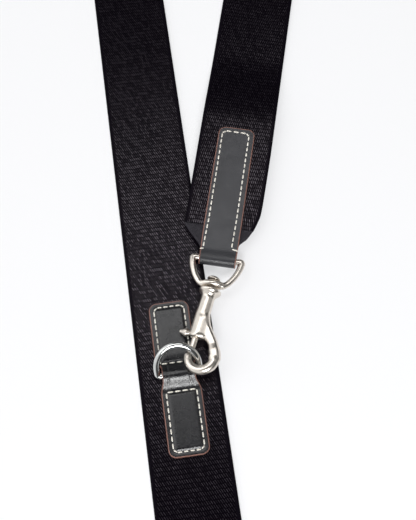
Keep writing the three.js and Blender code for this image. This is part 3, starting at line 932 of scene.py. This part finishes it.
def arm_stitches(prefix, place):
    """Rows up both sides and across the top of each leaf, with slanted stitches at the corners."""
    level = STRAP_MIDDLE + LEATHER_GAP + LEATHER_THICKNESS - TAB_GROOVE
    half = TAB_WIDTH / 2
    left = -half + STITCH_INSET - STITCH_SHIFT
    right = half - STITCH_INSET - STITCH_SHIFT
    top = TAB_LENGTH - STITCH_INSET
    runs = (
        ((left - 0.7, 10.8), (left, 32), (left, top - 2.2)),
        ((right - 0.5, 12.4), (right, 32), (right, top - 2.2)),
        ((left + 2.4, top), (right - 2.4, top)),
    )
    slanted = (
        ((left + 0.2, top - 1.6), (left + 1.9, top - 0.3)),
        ((right - 0.2, top - 1.6), (right - 1.9, top - 0.3)),
        ((left - 0.3, 9.4), (0.15 - half, 8.8)),
        ((right - 0.2, 11.1), (half - 0.15, 10.5)),
    )
    rows = []
    for side in (1, -1):
        z = side * level
        up = (0, 0, side)
        for run in runs:
            rows += run_of_stitches([(x, y, z) for x, y in run], up)
        rows += [((*start, z), (*end, z), up) for start, end in slanted]
    piece = stitched(f"{prefix}_stitching", place, rows)
    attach(piece, FITTINGS[prefix]["bodies"][0])


def chest_tab():
    """The strip sewn flat above and below the ring, humped over the ring's bar."""
    flat_height = STRAP_THICKNESS + LEATHER_GAP + LEATHER_THICKNESS / 2
    crown = RING_BAR_Z + RING_WIRE + HUMP_SLACK + LEATHER_THICKNESS / 2
    hump = np.linspace(RING_BAR_Y - HUMP_LENGTH, RING_BAR_Y + HUMP_LENGTH, 41)
    y = np.concatenate([[CHEST_TAB_BOTTOM], hump, [CHEST_TAB_TOP]])
    offset = np.clip((y - RING_BAR_Y) / HUMP_LENGTH, -1, 1)
    rise = 0.5 + 0.5 * np.cos(math.pi * offset)
    line = np.stack([y, flat_height + (crown - flat_height) * rise], 1)
    lefts, rights, knots = np.transpose(CHEST_SIDES)
    rows_y = (CHEST_TAB_BOTTOM + STITCH_INSET, -10.8, 7.2, CHEST_TAB_TOP - 3)

    def sides(y):
        return np.interp(y, knots, lefts), np.interp(y, knots, rights)

    def relief(x, s, distance):
        where = resampled(line, s[:, 0])[:, :1]
        above_hump, below_hump = where > rows_y[2], where < rows_y[1]
        to_rows = np.minimum(np.abs(where - rows_y[1]), np.abs(where - rows_y[2]))
        nearest = np.minimum(to_rows, np.abs(distance - STITCH_INSET))
        dip = CHEST_GROOVE * groove(nearest, GROOVE_WIDTH)
        dip = np.where((above_hump | below_hump) | (distance >= STITCH_INSET + 0.1), dip, 0)
        panels = (above_hump | below_hump) & (distance > STITCH_INSET)
        panel = np.where(panels, CHEST_PANEL * smoothstep(nearest, 0.3, 2.0), 0)
        creases = 0.12 * (np.sin(where * 2.9 + 0.25 * x) - 1)
        creases = creases * smoothstep(where, -2.2, 0.8) * smoothstep(-where, -5.5, -2.5)
        return panel + creases - dip

    def bends(y):
        return smoothstep(-np.abs(y - RING_BAR_Y), -HUMP_LENGTH - 1, -HUMP_LENGTH + 3)

    world = Matrix.Identity(4)
    piece = tab_mesh("chest_tab_leather", world, line, sides, relief, bends, CHEST_LEATHER)
    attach(piece, "root")
    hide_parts("chest_tab")
    chest_stitches(line, rows_y)


def chest_stitches(line, rows_y):
    """A sewn box on each side of the ring, with slanted stitches at its two far corners."""

    def on(x, y):
        middle = np.interp(y, line[:, 0], line[:, 1])
        return (x, y, middle + LEATHER_THICKNESS / 2 - 0.26)

    up = (0, 0, 1)
    low, lower_top, upper_foot, top = rows_y
    boxes = (((-9.1, 9.6), low, lower_top), ((-10.4, 8.6), upper_foot, top))
    rows = []
    for (left, right), bottom_row, top_row in boxes:
        foot = bottom_row + (2.4 if bottom_row == low else 0.6)
        head = top_row - (2.4 if top_row == top else 0.6)
        for x in (left, right):
            rows += run_of_stitches([on(x, foot), on(x, head)], up)
        for y in (bottom_row, top_row):
            far = y in (low, top)
            inset = 2.4 if far else 0.8
            rows += run_of_stitches([on(left + inset, y), on(right - inset, y)], up)
            if far:
                away = 1 if y == low else -1
                for x, inward in ((left, 1), (right, -1)):
                    start = on(x + 0.2 * inward, y + 1.7 * away)
                    end = on(x + 1.8 * inward, y + 0.3 * away)
                    rows.append((start, end, up))
    piece = stitched("chest_tab_stitching", Matrix.Identity(4), rows)
    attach(piece, "root")


def binding(prefix):
    """The tape over the tapered end of the webbing, between the two leaves of the tab."""
    fitting = FITTINGS[prefix]
    y = np.linspace(TAPE_START, TAPE_END, 34)
    line = np.stack([y, np.full(len(y), fitting["level"])], 1)
    left = side_at(y, TAPE_LEFT)
    right = side_at(y, spline(TAPE_RIGHT))
    columns = shares_across(np.array([0, 0.01, 0.03, 0.06]), 0.1, 16)

    def thickness(x, s):
        beside = np.minimum(x - left[:, None], right[:, None] - x)
        before = np.minimum(s, s[-1, 0] - s)
        drop = rounded(np.minimum(beside, before), STRAP_ROUNDING)
        return STRAP_MIDDLE + 0.02 + 0.12 * groove(s - TAPE_FOLD, 0.7) - drop

    points, faces, _, cloth = slab(line, left, right, thickness, thickness, columns)
    piece = add_piece(f"{prefix}_tape", points, faces, fitting["place"], [TAPE], cloth)
    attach(piece, fitting["bodies"][0])
    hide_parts(f"{prefix}_binding")


# Metal


def d_path(bow, corner):
    """A closed D of wire as even points: a bow from right to left, and a bar on X."""
    turn = np.radians(np.linspace(180, 270, 7))
    across = corner + corner * np.cos(turn)
    height = corner + corner * np.sin(turn)
    left = np.stack([bow[-1][0] + across, height], 1)
    right = np.stack([bow[0][0] - across, height], 1)[::-1]
    outline = np.vstack([bow, left, right, bow[:1]])
    even = np.linspace(0, lengths_along(outline)[-1], 161)[:-1]
    return np.column_stack([resampled(outline, even), np.zeros(len(even))])


def chest_ring():
    angles = np.radians(np.linspace(0, 180, 49))
    rise = RING_DEPTH - RING_LEG
    bow = [(RING_HALF_WIDTH * math.cos(a), RING_LEG + rise * math.sin(a)) for a in angles]
    path = d_path(bow, RING_CORNER)
    points, faces, cloth = tube(path, RING_WIRE, 32, closed=True)
    place = moved(0, RING_BAR_Y, RING_BAR_Z) @ turned_by(RING_TILT, "X")
    piece = add_piece("chest_ring_metal", points, faces, place, [CHROME], cloth)
    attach(piece, "chest_ring")
    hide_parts("chest_ring")


def eye_bow():
    """The bow of an eye from right to left; it leans a little to the side of its boss."""
    side = spline(EYE_SIDE)
    bow = np.vstack([side, side[::-1] * (-1, 1)])
    bow[:, 0] += BOSS_OFFSET * bow[:, 1] / EYE_DEPTH
    return bow


def eye_distance(points):
    """A cast D, stouter at its corners, with a boss in the middle of its bow and a hole in that."""
    path = d_path(eye_bow(), EYE_CORNER)[::2, :2]
    outward = np.clip((np.abs(points[:, 0]) - 12.2) / 2.3, 0, 1)
    stouter = 0.35 * outward * np.clip((14 - points[:, 1]) / 11, 0, 1)
    ring = np.abs(outline_distance(points[:, :2], path))
    wire = np.hypot(ring, points[:, 2]) - EYE_WIRE - stouter
    x, y, z = points[:, 0] - BOSS_OFFSET, points[:, 1] - EYE_DEPTH, points[:, 2]
    wide, deep, high = BOSS_SIZE
    swell = (np.sqrt((x / wide) ** 2 + ((y + 0.5) / deep) ** 2 + (z / high) ** 2) - 1) * deep
    boss = np.maximum(swell, np.abs(y + 0.2) - BOSS_HALF_LENGTH)
    return np.maximum(joined(wire, boss, 1.0), BOSS_HOLE - np.hypot(x, z))


def snap_outline():
    shank = spline([(4.2, -21.0), (7.7, -26.8), (14.0, -34.9), (17.2, -41.0), (18.7, -46.0)])
    opening = spline([(12.6, -47.0), (11.7, -44.0), (10.3, -40.5), (7.2, -37.0), (4.2, -35.4)])
    return np.vstack([[(0, -23)], shank, opening, [(0, -35.4)]])


SNAP_PROFILE = [
    (0, BARREL_END), (3.7, BARREL_END), (4.2, -35.7), (4.4, -35.1), (4.5, -30), (4.6, -20),
    (4.45, -12), (4.35, -9.5), (4.6, -8), (5.5, -6.8), (6.4, -6), (7, -5.2), (7.2, -4.5),
    (7.1, -3.9), (6.6, BELL_FACE), (0, BELL_FACE), (-1, BELL_FACE), (-1, BARREL_END),
]


def between(value, low, high):
    """Distance outside a span, for the ends of a hole."""
    return np.maximum(value - high, low - value)


def snap_distance(points):
    """A cast snap: a bell and barrel, a shank that leaves the barrel's side, and a tapering hook."""
    x, y, z = points.T
    round_axis = np.hypot(x, z)
    barrel = outline_distance(np.stack([round_axis, y], 1), SNAP_PROFILE)
    inward = np.maximum(SHANK_ROUNDING + outline_distance(points[:, :2], snap_outline()), 0)
    shank = (np.hypot(inward / SHANK_ROUNDING, z / SHANK_HALF) - 1) * SHANK_HALF
    centre_x, centre_y = HOOK_CENTRE
    angle = np.degrees(np.arctan2(y - centre_y, x - centre_x))
    angle = np.where(angle > 110, angle - 360, angle)
    angle = np.clip(angle, HOOK_ANGLES[0], HOOK_ANGLES[-1])
    wire = np.interp(angle, HOOK_ANGLES, HOOK_HALVES)
    reach = HOOK_OUTER - wire
    middle_x = centre_x + reach * np.cos(np.radians(angle))
    middle_y = centre_y + reach * np.sin(np.radians(angle))
    bow = np.sqrt((x - middle_x) ** 2 + (y - middle_y) ** 2 + z**2) - wire
    above = np.clip(z / 2 + 0.5, 0, 1)
    body = joined(joined(shank, bow, 2.6), barrel, 2.6 + 1.8 * above)
    bore = np.maximum(round_axis - BORE, between(y, -44, -11))
    rivet = np.maximum(round_axis - RIVET_HOLE, between(y, -12, 0))
    slot = np.maximum(np.maximum(np.abs(z) - TRIGGER_SLOT, x), between(y, -45, -23.9))
    return np.maximum(body, -np.minimum(np.minimum(bore, rivet), slot))


def bolt_distance(points):
    """The spring bolt: a pin with chamfered ends, and a conical thumb piece on a collared stem."""
    x, y, z = points.T
    round_axis, along = np.hypot(x, z), np.abs(y - PIN_MIDDLE)
    pin = np.maximum(round_axis - PIN_RADIUS, along - PIN_HALF)
    chamfer = round_axis + along - (PIN_RADIUS + PIN_HALF - PIN_CHAMFER)
    pin = np.maximum(pin, chamfer * math.sqrt(0.5))
    stem = rod_distance(points, (0, TRIGGER_Y, 0), (-8.2, TRIGGER_Y, 0), 1.3)
    collar = rod_distance(points, (-5.7, TRIGGER_Y, 0), (-5.9, TRIGGER_Y, 0), 1.7)
    reach = np.clip(-x, *KNOB_REACH)
    swell = np.interp(reach, KNOB_REACH, KNOB_RADIUS)
    knob = np.sqrt((x + reach) ** 2 + (y - TRIGGER_Y) ** 2 + z**2) - swell
    knob = np.maximum(knob, x + 5.5)
    return joined(joined(joined(pin, stem, 0.6), collar, 0.5), knob, 0.5)


RIVET_PROFILE = [
    (0, -10.5), (1.3, -10.5), (1.4, -10.3), (1.4, 3.6), (1.5, 3.7), (4, 3.7), (4.2, 3.85),
    (4.2, 4.2), (4.05, 4.55), (3.6, 5.05), (2.9, 5.5), (2, 5.9), (1, 6.12), (0, 6.2),
]


def spring_shape():
    count = SPRING_TURNS * 28 + 1
    angle = np.linspace(0, SPRING_TURNS * math.tau, count)
    y = -np.linspace(SPRING_START, SPRING_END, count)
    path = np.stack([SPRING_RADIUS * np.cos(angle), y, SPRING_RADIUS * np.sin(angle)], 1)
    return tube(path, SPRING_WIRE, 12)


METAL_SHAPES = {
    "eye": surface(eye_distance, (-18.5, -3, -5), (18.9, 23, 5), 0.4),
    "snap_body": surface(snap_distance, (-8, -60.5, -8), (21, -2.5, 8), 0.4),
    "snap_bolt": surface(bolt_distance, (-12.2, -44.6, -3.2), (2.8, -20.8, 3.2), 0.3),
    "snap_rivet": turned(RIVET_PROFILE, 40),
}


def fitting_metal(prefix):
    fitting = FITTINGS[prefix]
    _, eye_body, snap_body, bolt_body = fitting["bodies"]
    bar = EYE_WIRE + FOLD_GAP + LEATHER_THICKNESS
    hinge = fitting["place"] @ moved(0, bar, fitting["level"])
    hinge = hinge @ turned_by(fitting["eye_pitch"], "X")
    snap = (
        hinge
        @ moved(-BOSS_OFFSET, -EYE_DEPTH)
        @ turned_by(fitting["yaw"], "Z")
        @ turned_by(fitting["pitch"], "X")
        @ turned_by(fitting["roll"], "Y")
    )
    rows = (
        ("eye", hinge @ HALF_TURN, eye_body),
        ("snap_body", snap, snap_body),
        ("snap_rivet", snap, snap_body),
        ("snap_bolt", snap, bolt_body),
    )
    for shape, place, body in rows:
        points, faces = METAL_SHAPES[shape]
        piece = add_piece(f"{prefix}_{shape}_metal", points, faces, place, [NICKEL])
        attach(piece, body)
        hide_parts(f"{prefix}_{shape}")
    points, faces, cloth = spring_shape()
    piece = add_piece(f"{prefix}_spring_wire", points, faces, snap, [SPRING], cloth)
    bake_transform(piece)
    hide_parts(f"{prefix}_snap_spring")


# View and light


def camera():
    forward = Vector(CAMERA_FORWARD).normalized()
    right = forward.cross(Vector(CAMERA_UP)).normalized()
    up = right.cross(forward)
    data = bpy.data.cameras.new("camera")
    data.lens = CAMERA_LENS
    data.clip_start = 0.01
    eye = add_object("camera", data)
    turn = Matrix((right, up, -forward)).transposed().to_4x4()
    eye.matrix_world = Matrix.Translation(CAMERA_PLACE) @ turn
    bpy.context.scene.camera = eye


def area_light(name, place, target, size, power):
    data = bpy.data.lights.new(name, "AREA")
    data.shape = "RECTANGLE"
    data.size, data.size_y = size
    data.energy = power
    lamp = add_object(name, data)
    lamp.location = place
    lamp.rotation_euler = (Vector(target) - Vector(place)).to_track_quat("-Z", "Y").to_euler()


def studio():
    world = bpy.data.worlds.new("studio")
    world.use_nodes = True
    nodes, links = world.node_tree.nodes, world.node_tree.links
    backdrop = nodes["Background"]
    backdrop.inputs["Color"].default_value = (0.98, 0.99, 1, 1)
    place = nodes.new("ShaderNodeTexCoord")
    side = nodes.new("ShaderNodeVectorMath")
    side.operation = "DOT_PRODUCT"
    side.inputs[1].default_value = BRIGHT_SIDE
    glow = nodes.new("ShaderNodeMapRange")
    for socket, number in zip(glow.inputs[1:5], (0.0, 0.4, ROOM_LIGHT, SIDE_LIGHT)):
        socket.default_value = number
    links.new(place.outputs["Generated"], side.inputs[0])
    links.new(side.outputs["Value"], glow.inputs["Value"])
    links.new(glow.outputs["Result"], backdrop.inputs["Strength"])
    bpy.context.scene.world = world
    for lamp in LAMPS:
        area_light(*lamp)
    corners = ((-1, -1), (1, -1), (1, 1), (-1, 1))
    points = [(x * FLOOR_REACH, y * FLOOR_REACH, FLOOR_LEVEL) for x, y in corners]
    mesh = bpy.data.meshes.new("floor")
    mesh.from_pydata(points, [], [(0, 1, 2, 3)])
    mesh.materials.append(floor_finish())
    floor = add_object("floor", mesh)
    bpy.context.scene.view_settings.view_transform = "Standard"


camera()
studio()
main_strap()
right_strap()
strap_end("left_saddle", LEFT_FLEX + END_LENGTH - LEFT_MIDDLE)
strap_end("right_saddle", RIGHT_FLEX + END_LENGTH - RIGHT_MIDDLE)
strap_end("girth", GIRTH_MIDDLE - (GIRTH_FLEX - END_LENGTH))
chest_tab()
chest_ring()
for fitting_name in FITTINGS:
    arm_tab(fitting_name)
    binding(fitting_name)
    fitting_metal(fitting_name)
